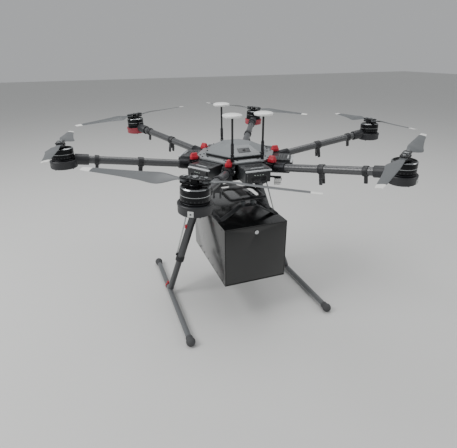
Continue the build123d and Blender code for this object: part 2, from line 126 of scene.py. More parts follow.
soft_box("key_box", (-2.6, -0.2, 2.2), (0, 0, -0.1), (1.8, 1.8), 85)
soft_box("top_box", (0.5, 0.8, 3.0), (0, 0, 0), (2.6, 2.6), 60)
soft_box("fill_box", (2.4, -1.8, 1.4), (0, 0, -0.1), (1.4, 1.4), 18)

CAMERA_PLACE = Vector((-0.4814, -1.2406, 0.3904))
CAMERA_HEADING = -20.0
CAMERA_DIP = 24.53
CAMERA_ROLL = -0.39
CAMERA_LENS = 29.77
camera = bpy.data.objects.new("camera", bpy.data.cameras.new("camera"))
scene.collection.objects.link(camera)
camera.data.sensor_width = 36.0
camera.data.lens = CAMERA_LENS
camera.matrix_world = (
    Matrix.Translation(CAMERA_PLACE)
    @ Matrix.Rotation(math.radians(CAMERA_HEADING), 4, "Z")
    @ Matrix.Rotation(math.radians(90 - CAMERA_DIP), 4, "X")
    @ Matrix.Rotation(math.radians(CAMERA_ROLL), 4, "Z")
)
scene.camera = camera


# ---- Lower deck ---------------------------------------------------------------------
# A hexagonal plate cut from woven carbon laminate, with the payload bolt holes; two
# machined black forks under it carry the landing legs.

def solids(node):
    """The separate solids of a CAD node as bmeshes. Faces over one edge belong together,
    and where solids touch, a face keeps to the next face across its own solid."""
    source = frame["nodes"][node].data
    numbers, points, faces = {}, [], []
    for polygon in source.polygons:
        face = []
        for index in polygon.vertices:
            place = tuple(source.vertices[index].co)
            if place not in numbers:
                numbers[place] = len(points)
                points.append(Vector(place))
            face.append(numbers[place])
        if len(set(face)) == 3:
            faces.append(face)
    over = {}
    for number, (a, b, c) in enumerate(faces):
        for start, end, apex in ((a, b, c), (b, c, a), (c, a, b)):
            over.setdefault((min(start, end), max(start, end)), []).append((number, start, apex))
    group = list(range(len(faces)))

    def root(number):
        while group[number] != number:
            group[number] = group[group[number]]
            number = group[number]
        return number

    for (low, high), sides in over.items():
        along = (points[high] - points[low]).normalized()
        for number, start, apex in sides:
            if start != low:
                continue
            reach = points[apex] - points[low]
            reach = (reach - along * reach.dot(along)).normalized()
            inward = reach.cross(along)
            best = None
            for other, begin, tip in sides:
                if begin == low:
                    continue
                arm = points[tip] - points[low]
                turn = math.atan2(arm.dot(inward), arm.dot(reach)) % math.tau
                turn = turn if turn > 1e-4 else math.tau
                if best is None or turn < best[0]:
                    best = (turn, other)
            if best:
                group[root(number)] = root(best[1])
    members = {}
    for number in range(len(faces)):
        members.setdefault(root(number), []).append(number)
    found = []
    for numbers_in in members.values():
        mesh = bmesh.new()
        verts = {}
        for number in numbers_in:
            corners = []
            for index in faces[number]:
                if index not in verts:
                    verts[index] = mesh.verts.new(points[index])
                corners.append(verts[index])
            mesh.faces.new(corners)
        found.append(mesh)
    return found


def size_of(mesh, to_local=Matrix.Identity(4)):
    """Centre and size of a bmesh in millimetres, in a frame of one's own."""
    spots = [to_local @ v.co * 1000 for v in mesh.verts]
    low = Vector([min(s[i] for s in spots) for i in range(3)])
    high = Vector([max(s[i] for s in spots) for i in range(3)])
    return (low + high) / 2, high - low


def take(group, place, to_local=Matrix.Identity(4)):
    """Removes from a group the solid whose centre is nearest to a place in millimetres."""
    best = min(group, key=lambda mesh: (size_of(mesh, to_local)[0] - Vector(place)).length)
    group.remove(best)
    return best


def eased(mesh, width, segments=2, angle=28.0):
    """A machined or moulded edge: flat faces joined up, then sharp edges rounded, in mm."""
    bmesh.ops.dissolve_limit(mesh, angle_limit=math.radians(0.5), verts=mesh.verts, edges=mesh.edges)
    sharp = [e for e in mesh.edges if e.is_manifold and e.calc_face_angle(0) > math.radians(angle)]
    worn = mesh.faces.layers.float.new("worn_edge")
    made = bmesh.ops.bevel(
        mesh, geom=sharp, offset=width / 1000, segments=segments, profile=0.5,
        affect="EDGES", clamp_overlap=True,
    )
    for face in made["faces"]:
        face[worn] = 1.0
    return mesh


def piece(name, shape, material, body, node=None):
    """Gives one or several bmeshes a material and a body as one piece, which stands for a node."""
    mesh = bpy.data.meshes.new(name)
    joined = bmesh.new()
    for part in shape if isinstance(shape, list) else [shape]:
        part.to_mesh(mesh)
        joined.from_mesh(mesh)
        part.free()
    joined.to_mesh(mesh)
    joined.free()
    mesh.materials.append(material)
    mesh.shade_smooth()
    mesh.set_sharp_from_angle(angle=math.radians(34))
    made = bpy.data.objects.new(name, mesh)
    scene.collection.objects.link(made)
    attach(made, body)
    if node:
        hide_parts(node)
    return made


def grained(name, colour, rough, grain_mm, depth_mm, tone=0.10, patch_mm=45.0, swing=0.07, metal=0.0,
            rubbed=0.35):
    """A moulded, cast or coated finish: fine grain in relief, slow changes of tone, and
    edges rubbed lighter in places."""
    material = bpy.data.materials.new(name)
    material.use_nodes = True
    tree = material.node_tree
    shader = tree.nodes["Principled BSDF"]
    where = add(tree, "ShaderNodeTexCoord").outputs["Object"]
    grain = add(tree, "ShaderNodeTexNoise", {"Vector": where, "Scale": 1000 / grain_mm, "Detail": 2.0})
    patch = add(tree, "ShaderNodeTexNoise", {"Vector": where, "Scale": 1000 / patch_mm, "Detail": 4.0})
    base = linear(colour)
    dark = [c * (1 - tone) for c in base[:3]] + [1.0]
    light = [min(1.0, c * (1 + tone)) for c in base[:3]] + [1.0]
    tint = add(tree, "ShaderNodeMix", {0: patch.outputs["Fac"], 6: dark, 7: light}, data_type="RGBA")
    spread = add(
        tree, "ShaderNodeMapRange",
        {"Value": patch.outputs["Fac"], "From Min": 0.3, "From Max": 0.7,
         "To Min": rough - swing, "To Max": rough + swing},
    )
    relief = add(
        tree, "ShaderNodeBump",
        {"Strength": 0.6, "Distance": depth_mm / 1000, "Height": grain.outputs["Fac"]},
    )
    edge = add(tree, "ShaderNodeAttribute", attribute_name="worn_edge")
    scuff = add(tree, "ShaderNodeTexNoise", {"Vector": where, "Scale": 120.0, "Detail": 3.0})
    broken = add(
        tree, "ShaderNodeMapRange",
        {"Value": scuff.outputs["Fac"], "From Min": 0.45, "From Max": 0.62, "To Max": rubbed},
    )
    rub = add(
        tree, "ShaderNodeMath", {0: edge.outputs["Fac"], 1: broken.outputs["Result"]}, operation="MULTIPLY"
    )
    bare = [c + (1 - c) * 0.35 for c in base[:3]] + [1.0]
    worn = add(
        tree, "ShaderNodeMix", {0: rub.outputs[0], 6: tint.outputs[2], 7: bare}, data_type="RGBA"
    )
    tree.links.new(worn.outputs[2], shader.inputs["Base Color"])
    tree.links.new(spread.outputs["Result"], shader.inputs["Roughness"])
    tree.links.new(relief.outputs["Normal"], shader.inputs["Normal"])
    shader.inputs["Metallic"].default_value = metal
    return material


def twill(name, dark, light, tow_mm, source, rough=0.34):
    """Two-by-two twill carbon laminate under clear resin: diagonal steps of light and dark
    tows, a tow wide in millimetres. Source is the texture coordinate used."""
    material = bpy.data.materials.new(name)
    material.use_nodes = True
    tree = material.node_tree
    shader = tree.nodes["Principled BSDF"]
    where = add(tree, "ShaderNodeTexCoord").outputs[source]
    split = add(tree, "ShaderNodeSeparateXYZ", {"Vector": where})
    cells = []
    for axis in ("X", "Y"):
        scaled = add(tree, "ShaderNodeMath", {0: split.outputs[axis], 1: 1000 / tow_mm}, operation="MULTIPLY")
        cells.append(add(tree, "ShaderNodeMath", {0: scaled.outputs[0]}, operation="FLOOR").outputs[0])
    diagonal = add(tree, "ShaderNodeMath", {0: cells[0], 1: cells[1]}, operation="ADD")
    step = add(tree, "ShaderNodeMath", {0: diagonal.outputs[0], 1: 4.0}, operation="FLOORED_MODULO")
    over = add(tree, "ShaderNodeMath", {0: step.outputs[0], 1: 1.5}, operation="LESS_THAN")
    cloud = add(tree, "ShaderNodeTexNoise", {"Scale": 40.0, "Detail": 3.0})
    weave = add(
        tree, "ShaderNodeMix", {0: over.outputs[0], 6: linear(dark), 7: linear(light)}, data_type="RGBA"
    )
    shade = add(
        tree, "ShaderNodeMix", {0: cloud.outputs["Fac"], 6: weave.outputs[2], 7: linear(light)},
        data_type="RGBA",
    )
    spread = add(
        tree, "ShaderNodeMapRange",
        {"Value": over.outputs[0], "To Min": rough - 0.05, "To Max": rough + 0.07},
    )
    relief = add(
        tree, "ShaderNodeBump", {"Strength": 0.25, "Distance": 0.0001, "Height": over.outputs[0]}
    )
    tree.links.new(shade.outputs[2], shader.inputs["Base Color"])
    tree.links.new(spread.outputs["Result"], shader.inputs["Roughness"])
    tree.links.new(relief.outputs["Normal"], shader.inputs["Normal"])
    shader.inputs["Coat Weight"].default_value = 0.35
    return material


# carbon laminate, resin-coated: near-black with a soft sheen
carbon_plate = twill("carbon twill plate", "#141416", "#242427", 3.0, "Object")
# black anodised aluminium, bead-blasted: even, dry black with a slight metallic lift
black_anodised = grained("black anodised aluminium", "#26272a", 0.46, 0.35, 0.02, metal=0.65)

deck_parts = solids("lower_deck")
deck = take(deck_parts, (0, 0, 1.5))
piece("deck_plate", eased(deck, 0.35), carbon_plate, "airframe", "lower_deck")
for side, fork in zip(("a", "b"), sorted(deck_parts, key=lambda m: size_of(m)[0].x)):
    piece(f"gear_fork_{side}", eased(fork, 0.8), black_anodised, "airframe")


# ---- Centre frame -------------------------------------------------------------------
# The upper plate is bead-blasted grey aluminium; under it six milled black forks carry the
# arms and tie the two decks together, held by socket screws. Three posts carry the masts.
def close_tree(tree, spread, material):
    """Ends a tree: the instances become real mesh in one material."""
    real = add(tree, "GeometryNodeRealizeInstances", {"Geometry": spread.outputs["Instances"]})
    dressed = add(
        tree, "GeometryNodeSetMaterial", {"Geometry": real.outputs["Geometry"], "Material": material}
    )
    add(tree, "NodeGroupOutput", {"Geometry": dressed.outputs["Geometry"]})


def screw_tree():
    """Geometry Nodes: a socket head screw on each point, along the point's own direction."""
    tree = bpy.data.node_groups.new("socket screws", "GeometryNodeTree")
    face = tree.interface
    face.new_socket("Geometry", in_out="INPUT", socket_type="NodeSocketGeometry")
    for label in ("Head Radius", "Head Height"):
        face.new_socket(label, in_out="INPUT", socket_type="NodeSocketFloat")
    face.new_socket("Material", in_out="INPUT", socket_type="NodeSocketMaterial")
    face.new_socket("Geometry", in_out="OUTPUT", socket_type="NodeSocketGeometry")
    given = add(tree, "NodeGroupInput").outputs
    bore_r = add(tree, "ShaderNodeMath", {0: given["Head Radius"], 1: 0.52}, operation="MULTIPLY").outputs[0]
    rise = add(tree, "ShaderNodeMath", {0: given["Head Height"], 1: 0.5}, operation="MULTIPLY").outputs[0]
    lift = add(tree, "ShaderNodeCombineXYZ", {"Z": rise}).outputs[0]
    head = add(
        tree, "GeometryNodeMeshCylinder",
        {"Vertices": 18, "Radius": given["Head Radius"], "Depth": given["Head Height"]},
    )
    bore = add(
        tree, "GeometryNodeMeshCylinder", {"Vertices": 6, "Radius": bore_r, "Depth": given["Head Height"]}
    )
    raised = add(tree, "GeometryNodeTransform", {"Geometry": bore.outputs["Mesh"], "Translation": lift})
    cut = add(
        tree, "GeometryNodeMeshBoolean", {0: head.outputs["Mesh"], 1: raised.outputs["Geometry"]},
        operation="DIFFERENCE",
    )
    out = add(tree, "GeometryNodeInputNamedAttribute", {"Name": "out"}, data_type="FLOAT_VECTOR")
    turn = add(
        tree, "FunctionNodeAlignRotationToVector", {"Vector": out.outputs["Attribute"]}, axis="Z"
    )
    spread = add(
        tree, "GeometryNodeInstanceOnPoints",
        {"Points": given["Geometry"], "Instance": cut.outputs["Mesh"], "Rotation": turn.outputs["Rotation"]},
    )
    close_tree(tree, spread, given["Material"])
    return tree


def built(tree, mesh, settings, name):
    """The mesh that a Geometry Nodes tree makes from a start mesh, as an object without it."""
    holder = bpy.data.objects.new(name, mesh)
    scene.collection.objects.link(holder)
    modifier = holder.modifiers.new("build", "NODES")
    modifier.node_group = tree
    for item in tree.interface.items_tree:
        if item.in_out == "INPUT" and item.name in settings:
            modifier[item.identifier] = settings[item.name]
    seen = bpy.context.evaluated_depsgraph_get()
    result = bpy.data.meshes.new_from_object(holder.evaluated_get(seen))
    holder.modifiers.remove(modifier)
    holder.data = result
    return holder


socket_screws = screw_tree()
# black oxide steel screws, lightly oiled, so they glint against matt parts
screw_steel = grained("black oxide screw steel", "#4a4b4d", 0.34, 0.4, 0.01, metal=0.9)


def screws(name, spots, radius, height, body, material=screw_steel):
    """Socket screws at (place, direction) spots, in metres, as one piece on a body."""
    mesh = bpy.data.meshes.new(name)
    mesh.from_pydata([tuple(place) for place, out in spots], [], [])
    out = mesh.attributes.new("out", "FLOAT_VECTOR", "POINT")
    for item, (place, way) in zip(out.data, spots):
        item.vector = way
    settings = {"Head Radius": radius / 1000, "Head Height": height / 1000, "Material": material}
    made = built(socket_screws, mesh, settings, name)
    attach(made, body)
    return made


# bead-blasted anodised aluminium in light grey: even and dry, with a soft metallic sheen
blasted_grey = grained("grey anodised aluminium plate", "#8f9294", 0.5, 0.4, 0.02, tone=0.06, metal=0.5)
frame_parts = solids("centre_frame")
top_plate = take(frame_parts, (0, 0, 60))
piece("top_plate", eased(top_plate, 0.7), blasted_grey, "airframe", "centre_frame")
POST_TALL = 30.0
for number, part in enumerate(frame_parts):
    kind = "arm_mount" if size_of(part)[1].z > POST_TALL else "mast_post"
    piece(f"{kind}_{number}", eased(part, 0.6), black_anodised, "airframe")

ARM_NAMES = [name[5:] for name in joints if name.startswith("fold_")]
UP = Vector((0, 0, 1))


def outward(name):
    """Level direction of an arm, away from the centre."""
    pivot = Vector(joints[f"fold_{name}"]["pos_m"])
    return Vector((pivot.x, pivot.y, 0)).normalized()


PLATE_TOP = 0.063
plate_spots = []
for name in ARM_NAMES:
    way = outward(name)
    side = UP.cross(way)
    for reach, across in ((0.128, -0.014), (0.128, 0.014), (0.112, -0.022), (0.112, 0.022)):
        plate_spots.append((way * reach + side * across + UP * (PLATE_TOP + 0.0005), UP))
screws("plate_screws", plate_spots, 2.9, 2.4, "airframe")
deck_spots = []
for name in ARM_NAMES:
    way = outward(name)
    side = UP.cross(way)
    for reach, across in ((0.112, -0.006), (0.112, 0.006), (0.126, 0.0)):
        deck_spots.append((way * reach + side * across - UP * 0.0004, -UP))
screws("deck_screws", deck_spots, 2.6, 2.2, "airframe")


# ---- Batteries ----------------------------------------------------------------------
# Six smart packs in dark fine-grained polycarbonate slide in between the arms. The outer
# end is a grip with a pale trim line and a row of four charge lights.
# moulded polycarbonate with a fine spark-eroded grain: dark, with a low even sheen
battery_shell = grained("dark moulded polycarbonate", "#36383a", 0.3, 0.6, 0.02, swing=0.04)
# soft-touch rubber over the pack end: drier and darker than the shell
battery_grip = grained("rubberised battery grip", "#242527", 0.62, 0.5, 0.06)
# sprayed trim: pale satin line with crisp edges. The same pale paint makes a painted highlight strip on each
# battery lid.
trim_and_painted_highlight = grained("pale grey trim and painted highlight", "#b9bcbe", 0.4, 0.5, 0.01, tone=0.05)
# clear lens over an unlit light: pale green-white, glossy
charge_lens = grained("charge light lens", "#c9d6cc", 0.25, 0.8, 0.01, tone=0.04)


def box_mesh(x, y, z, place=Matrix.Identity(4)):
    """A box between (low, high) pairs in millimetres, put in place."""
    mesh = bmesh.new()
    bmesh.ops.create_cube(mesh, size=1.0)
    size = Vector((x[1] - x[0], y[1] - y[0], z[1] - z[0]))
    middle = Vector((x[0] + x[1], y[0] + y[1], z[0] + z[1])) / 2
    for vert in mesh.verts:
        spot = Vector([vert.co[i] * size[i] + middle[i] for i in range(3)]) / 1000
        vert.co = place @ spot
    return mesh


def standing(x, y, z, origin=(0, 0, 0)):
    """Frame with its three axes given, at an origin in metres."""
    return Matrix.Translation(origin) @ Matrix((x, y, z)).transposed().to_4x4()


BATTERY_END = 202.0
for number in range(1, 7):
    low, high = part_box(f"battery_{number}")
    centre = (low + high) / 2
    way = Vector((centre.x, centre.y, 0)).normalized()
    to_row = standing(way, UP.cross(way), UP)
    to_local = to_row.inverted()
    parts = solids(f"battery_{number}")
    body = f"battery_{number}"
    shell = take(parts, (128, 0, 31.7), to_local)
    grip = take(parts, (198, 0, 29), to_local)
    piece(f"battery_shell_{number}", eased(shell, 1.6, 3), battery_shell, body, body)
    piece(f"battery_grip_{number}", eased(grip, 1.0), battery_grip, body)
    parts[0].free()
    trim = box_mesh((194.2, BATTERY_END), (-43.8, 43.8), (47.5, 51.8), to_row)
    piece(f"battery_trim_{number}", eased(trim, 0.9), trim_and_painted_highlight, body)
    ribs = [
        box_mesh((BATTERY_END - 6, BATTERY_END - 3.4), (-24, 24), (z, z + 1.6), to_row)
        for z in (20.5, 24.0, 27.5)
    ]
    ribs = [eased(rib, 0.4) for rib in ribs]
    piece(f"battery_ribs_{number}", ribs, battery_grip, body)
    lights = [
        box_mesh((BATTERY_END - 1, BATTERY_END + 0.5), (y - 1.8, y + 1.8), (36.5, 38.3), to_row)
        for y in (-13.5, -4.5, 4.5, 13.5)
    ]
    lights = [eased(light, 0.3) for light in lights]
    piece(f"charge_lights_{number}", lights, charge_lens, body)
    lid = box_mesh((121, 188), (-41.5, 41.5), (53.6, 56.3), to_row)
    piece(f"battery_lid_{number}", eased(lid, 0.9), battery_shell, body)
    ridges = [box_mesh((x, x + 3.2), (-30, 30), (55.8, 57.4), to_row) for x in (148, 156, 164)]
    ridges.append(box_mesh((172, 181), (-18, 18), (55.8, 57.0), to_row))
    ridges = [eased(ridge, 0.6) for ridge in ridges]
    piece(f"battery_ridges_{number}", ridges, battery_grip, body)
    # painted highlight: a pale strip across the lid standing in for the light streak along the top of each
    # pack
    painted_highlight_strip = box_mesh((183.5, 187), (-22, 22), (55.9, 57.0), to_row)
    piece(f"battery_painted_highlight_{number}", eased(painted_highlight_strip, 0.5), trim_and_painted_highlight, body)


# ---- Electronics --------------------------------------------------------------------
# Flight controller under the cover, power board between the decks, and a white radio box
# on a bracket arm below the deck, behind and to the right.
# moulded ABS: clean white, barely grained
white_case = grained("white moulded ABS", "#f0f0ee", 0.42, 0.8, 0.03, tone=0.04, rubbed=0.1)
# solder mask under lacquer: dark green, patchy at the scale of its parts
board_green = grained("lacquered circuit board", "#2c3a30", 0.36, 1.5, 0.15, tone=0.3, patch_mm=9.0)
boxes = solids("electronics")
controller = take(boxes, (0, 0, 73))
power_board = take(boxes, (0, 0, 16))
radio = take(boxes, (124, -92, -27))
radio_place = size_of(radio)[0]
piece("flight_controller", eased(controller, 1.2), black_anodised, "airframe", "electronics")
piece("power_board", eased(power_board, 0.4), board_green, "airframe")
piece("radio_box", eased(radio, 1.6, 3), white_case, "airframe")
for number, part in enumerate(boxes):
    piece(f"radio_bracket_{number}", eased(part, 0.5), black_anodised, "airframe")
RADIO_TURN = Matrix.Translation(radio_place / 1000) @ Matrix.Rotation(math.radians(60), 4, "Z")
band = box_mesh((-18.3, 18.3), (-12.3, 12.3), (-2.6, -1.6), RADIO_TURN)
piece("radio_seam", eased(band, 0.3), battery_grip, "airframe")
plugs = [box_mesh((x - 3, x + 3), (-13.6, -11.8), (3, 7), RADIO_TURN) for x in (-10, 0, 10)]
piece("radio_sockets", [eased(plug, 0.4) for plug in plugs], battery_grip, "airframe")


# ---- Cover --------------------------------------------------------------------------
# A mid-grey moulded polycarbonate hood with six sloping faces sits on a dark gasket. Its
# rear face has a sunken panel with the power button, and its corners are screwed down.
# moulded rubber: black and dry, it gives almost no highlight
gasket_rubber = grained("moulded gasket rubber", "#1a1b1c", 0.78, 0.7, 0.05)
# moulded polycarbonate: cool mid-grey with a soft highlight on each slope
hood_grey = grained("grey moulded polycarbonate", "#7a7e80", 0.36, 0.5, 0.03, tone=0.05, rubbed=0.15)
# smoked acrylic: a flat dark window in the grey
panel_black = grained("smoked acrylic panel", "#3a3c3e", 0.42, 0.6, 0.01, tone=0.04, rubbed=0.0)

gasket = solids("cover_gasket")
piece("gasket", eased(gasket[0], 0.8), gasket_rubber, "airframe", "cover_gasket")
hood = solids("top_cover")
piece("hood", eased(hood[0], 1.6, 3, 12.0), hood_grey, "airframe", "top_cover")

panel_out = -Vector(joints["power_press"]["axis"])
panel_side = Vector((1, 0, 0))
panel_up = panel_out.cross(panel_side)
button_low, button_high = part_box("power_button")
panel_place = (button_low + button_high) / 2 + panel_out * 0.0017
TO_PANEL = standing(panel_side, panel_up, panel_out, panel_place)
sunk = box_mesh((-21.2, 21.2), (-11.2, 11.2), (-1.0, -0.55), TO_PANEL)
piece("button_panel", eased(sunk, 0.3), panel_black, "airframe")
button_parts = solids("power_button")
piece("power_button_cap", eased(button_parts[0], 0.6), battery_grip, "power_button", "power_button")
hood_spots = []
for name in ARM_NAMES:
    way = outward(name)
    hood_spots.append((way * 0.106 + UP * 0.0795, (way * 0.45 + UP).normalized()))
screws("hood_screws", hood_spots, 2.6, 2.4, "airframe", screw_steel)


# ---- Arm locks ----------------------------------------------------------------------
# A crimson glass-filled nylon wing knob on each arm mount, moulded with finger ribs. Its
# steel stud runs through a washer into the mount.
# glass-filled nylon: deep red, satin, paler where fingers rub its edges
crimson = grained("crimson glass-filled nylon", "#b81f33", 0.44, 0.5, 0.05, tone=0.08, rubbed=0.25)
KNOB_R = 154.0
for name in ARM_NAMES:
    lock = solids(f"arm_lock_{name}")
    way = outward(name)
    to_row = standing(way, UP.cross(way), UP)
    to_local = to_row.inverted()
    knob = take(lock, (KNOB_R, 0, 66), to_local)
    body = f"arm_lock_{name}"
    piece(f"knob_{name}", eased(knob, 1.1, 3), crimson, body, body)
    for number, part in enumerate(lock):
        piece(f"knob_stud_{name}_{number}", eased(part, 0.3), screw_steel, body)
    ribs = [
        box_mesh((x - 0.7, x + 0.7), (-9.4, 9.4), (60, 64.2), to_row)
        for x in (KNOB_R - 9, KNOB_R - 4.5, KNOB_R, KNOB_R + 4.5, KNOB_R + 9)
    ]
    piece(f"knob_ribs_{name}", [eased(rib, 0.4) for rib in ribs], crimson, body)


# ---- Arms ---------------------------------------------------------------------------
# Roll-wrapped carbon tubes, twill outside, glued into a black milled root knuckle with a
# steel fold pin. Two clamps sit on each: a propeller holder and one with a downward tab.
ARM_RISE = math.radians(8.1)
TUBE = (24.0, 372.0)
TUBE_R = 12.5
TUBE_WALL = 1.6
HOLDER_AT = 182.0
TAB_AT = 318.0


def arm_place(name):
    """Frame of an arm: X out along the tube from the fold pivot, Y along the pivot."""
    way = outward(name)
    side = UP.cross(way)
    along = way * math.cos(ARM_RISE) + UP * math.sin(ARM_RISE)
    return standing(along, side, along.cross(side), joints[f"fold_{name}"]["pos_m"])


Z_ALONG_X = Matrix.Rotation(math.radians(90), 4, "Y")
# roll-wrapped tube under satin lacquer: grey highlight along its length, weave just seen
carbon_tube = twill("carbon twill tube", "#3d3e40", "#494a4c", 3.0, "UV", 0.34)
# ground stainless steel: bright ends on the hinge pins
pin_steel = grained("stainless hinge pin steel", "#a3a5a6", 0.28, 0.5, 0.01, tone=0.05, metal=1.0)
# glass-filled nylon: black, slightly chalky
clamp_black = grained("black glass-filled nylon", "#212225", 0.5, 0.5, 0.05)


def turned(profile, place=Matrix.Identity(4), steps=48, closed=False):
    """A round part spun about Z from (radius, height) pairs in millimetres, with a UV map in
    metres round and along it. A closed profile makes a ring or a tube."""
    mesh = bmesh.new()
    uv = mesh.loops.layers.uv.new("UVMap")
    rings = []
    for radius, height in profile:
        count = steps if radius else 1
        turns = [math.tau * i / count for i in range(count)]
        rings.append([
            mesh.verts.new(Vector((radius * math.cos(t), radius * math.sin(t), height)) / 1000) for t in turns
        ])
    lengths = [0.0]
    for (r0, h0), (r1, h1) in zip(profile, profile[1:] + profile[:1]):
        lengths.append(lengths[-1] + math.hypot(r1 - r0, h1 - h0) / 1000)
    widest = max(radius for radius, height in profile) / 1000
    pairs = [(i, i + 1) for i in range(len(rings) - 1)] + ([(len(rings) - 1, 0)] if closed else [])
    for row, (a, b) in enumerate(pairs):
        for i in range(steps):
            corners = [(a, i, 0), (a, i + 1, 0), (b, i + 1, 1), (b, i, 1)]
            face, spots = [], []
            for ring_number, turn, later in corners:
                vert = rings[ring_number][turn % len(rings[ring_number])]
                if vert not in face:
                    face.append(vert)
                    spots.append((widest * math.tau * turn / steps, lengths[row + later]))
            made = mesh.faces.new(face)
            for loop, spot in zip(made.loops, spots):
                loop[uv].uv = spot
    bmesh.ops.recalc_face_normals(mesh, faces=mesh.faces)
    mesh.transform(place)
    return mesh


def tube_ring(radius, wall, low, high, place):
    """A plain tube with its ends eased, along Z of a frame."""
    ease = 0.4
    profile = [
        (radius - wall, low), (radius - ease, low), (radius, low + ease),
        (radius, high - ease), (radius - ease, high), (radius - wall, high),
    ]
    return turned(profile, place, closed=True)


for name in ARM_NAMES:
    place = arm_place(name)
    to_local = place.inverted()
    body = f"arm_{name}"
    parts = solids(body)
    take(parts, (198, 0, 0), to_local).free()
    knuckle = take(parts, (21.5, 0, 0), to_local)
    pin = take(parts, (0, 0, 0), to_local)
    holder = take(parts, (HOLDER_AT, 0, -15.7), to_local)
    tube = tube_ring(TUBE_R, TUBE_WALL, *TUBE, place @ Z_ALONG_X)
    piece(f"tube_{name}", tube, carbon_tube, body, body)
    piece(f"knuckle_{name}", eased(knuckle, 0.8), black_anodised, body)
    piece(f"fold_pin_{name}", eased(pin, 0.4), pin_steel, body)
    piece(f"holder_{name}", eased(holder, 0.8), clamp_black, body)
    piece(f"tab_clamp_{name}", eased(parts[0], 0.8), clamp_black, body)
    pinch = []
    turn = place.to_3x3()
    for reach, drop in ((HOLDER_AT, 15.5), (TAB_AT, 15.5), (45, 16.0), (27, 16.0)):
        for side in (-1, 1):
            spot = place @ (Vector((reach, side * drop, 0)) / 1000)
            pinch.append((spot, turn @ Vector((0, side, 0))))
    screws(f"clamp_screws_{name}", pinch, 2.4, 2.0, body)


# ---- Motor pods ---------------------------------------------------------------------
# Each motor stands on a moulded pod that holds its speed controller: a round black cup with
# cooling fins, a wide band, crimson on the two front pods, and a square light window.
def motor_place(name):
    """Frame of a motor: Z up its shaft from the propeller hub, X away from the centre."""
    up = Vector(joints[f"spin_{name}"]["axis"])
    way = outward(name)
    return standing(way, up.cross(way), up, joints[f"spin_{name}"]["pos_m"])


def ring_tree():
    """Geometry Nodes: blocks evenly round Z, each with its X side facing away from it."""
    tree = bpy.data.node_groups.new("ring of blocks", "GeometryNodeTree")
    face = tree.interface
    face.new_socket("Geometry", in_out="INPUT", socket_type="NodeSocketGeometry")
    face.new_socket("Count", in_out="INPUT", socket_type="NodeSocketInt")
    face.new_socket("Radius", in_out="INPUT", socket_type="NodeSocketFloat")
    face.new_socket("Size", in_out="INPUT", socket_type="NodeSocketVector")
    face.new_socket("Material", in_out="INPUT", socket_type="NodeSocketMaterial")
    face.new_socket("Geometry", in_out="OUTPUT", socket_type="NodeSocketGeometry")
    given = add(tree, "NodeGroupInput").outputs
    ring = add(tree, "GeometryNodeMeshCircle", {"Vertices": given["Count"], "Radius": given["Radius"]})
    place = add(tree, "GeometryNodeInputPosition")
    turn = add(
        tree, "FunctionNodeAlignRotationToVector", {"Vector": place.outputs["Position"]}, axis="X"
    )
    block = add(tree, "GeometryNodeMeshCube", {"Size": given["Size"]})
    spread = add(
        tree, "GeometryNodeInstanceOnPoints",
        {"Points": ring.outputs["Mesh"], "Instance": block.outputs["Mesh"],
         "Rotation": turn.outputs["Rotation"]},
    )
    close_tree(tree, spread, given["Material"])
    return tree


block_ring = ring_tree()


def ring_of(name, count, radius, size, height, place, material, body):
    """Blocks round a shaft, sizes in millimetres, at a height in its frame, as one piece."""
    start = bpy.data.meshes.new(name)
    settings = {
        "Count": count, "Radius": radius / 1000, "Size": [side / 1000 for side in size], "Material": material,
    }
    made = built(block_ring, start, settings, name)
    made.data.transform(place @ Matrix.Translation((0, 0, height / 1000)))
    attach(made, body)
    return made


FRONT_ARMS = ("front_right", "front_left")
# moulded nylon: dark satin with a fine grain
pod_black = grained("black moulded pod nylon", "#2a2b2e", 0.46, 0.5, 0.05)
# anodised band: dull crimson, dusty
band_red = grained("crimson anodised band", "#a63b48", 0.42, 0.6, 0.03, tone=0.12, rubbed=0.3)
# frosted polycarbonate: a milky white square, darker over its emitter
window_frost = grained("frosted light window", "#d8dad8", 0.3, 0.8, 0.02, tone=0.04)
window_core = grained("dark light emitter", "#56585a", 0.3, 0.8, 0.01)
# lacquered copper wire: warm glints between the bell and the base
winding_copper = grained(
    "enamelled copper winding", "#8a4b22", 0.35, 0.8, 0.2, tone=0.2, patch_mm=6.0, metal=0.8
)
for name in ARM_NAMES:
    place = motor_place(name)
    body = f"arm_{name}"
    band_finish = band_red if name in FRONT_ARMS else pod_black
    parts = solids(f"motor_pod_{name}")
    housing = take(parts, (-60, 0, -70), place.inverted())
    for spot in ((0, 0, -37), (37, 0, -66)):
        take(parts, spot, place.inverted()).free()
    piece(f"pod_{name}", eased(housing, 0.5), pod_black, body, f"motor_pod_{name}")
    band = turned(
        [(36.5, -75.5), (38.4, -74), (38.9, -71), (38.9, -59), (39.8, -57.5), (39.8, -53),
         (38.8, -51.6), (36, -51.6)],
        place, 64, closed=True,
    )
    piece(f"pod_band_{name}", band, band_finish, body)
    ring_of(f"pod_fins_{name}", 36, 37.2, (4.4, 1.5, 4.2), -55.2, place, band_finish, body)
    light = box_mesh((38.0, 40.3), (-6.5, 6.5), (-73, -60), place)
    piece(f"window_{name}", eased(light, 0.6), window_frost, body)
    core = box_mesh((39.6, 40.7), (-2.1, 2.1), (-68.6, -64.4), place)
    piece(f"window_core_{name}", eased(core, 0.4), window_core, body)
    stator = turned(
        [(4.1, -52), (33, -52), (33.5, -51.2), (33.5, -48.6), (32.8, -47.6), (14, -47.6), (14, -23),
         (4.1, -23)],
        place, 48, closed=True,
    )
    piece(f"stator_{name}", stator, black_anodised, body)
    ring_of(f"windings_{name}", 24, 20.5, (10.5, 3.2, 21.0), -34.0, place, winding_copper, body)
    ends = []
    for angle in (35, 145, 215, 325):
        spoke = Vector((math.cos(math.radians(angle)), math.sin(math.radians(angle)), 0))
        ends.append((place @ (spoke * 0.0305 + UP * -0.0778), place.to_3x3() @ -UP))
    screws(f"pod_screws_{name}", ends, 2.2, 1.6, body)
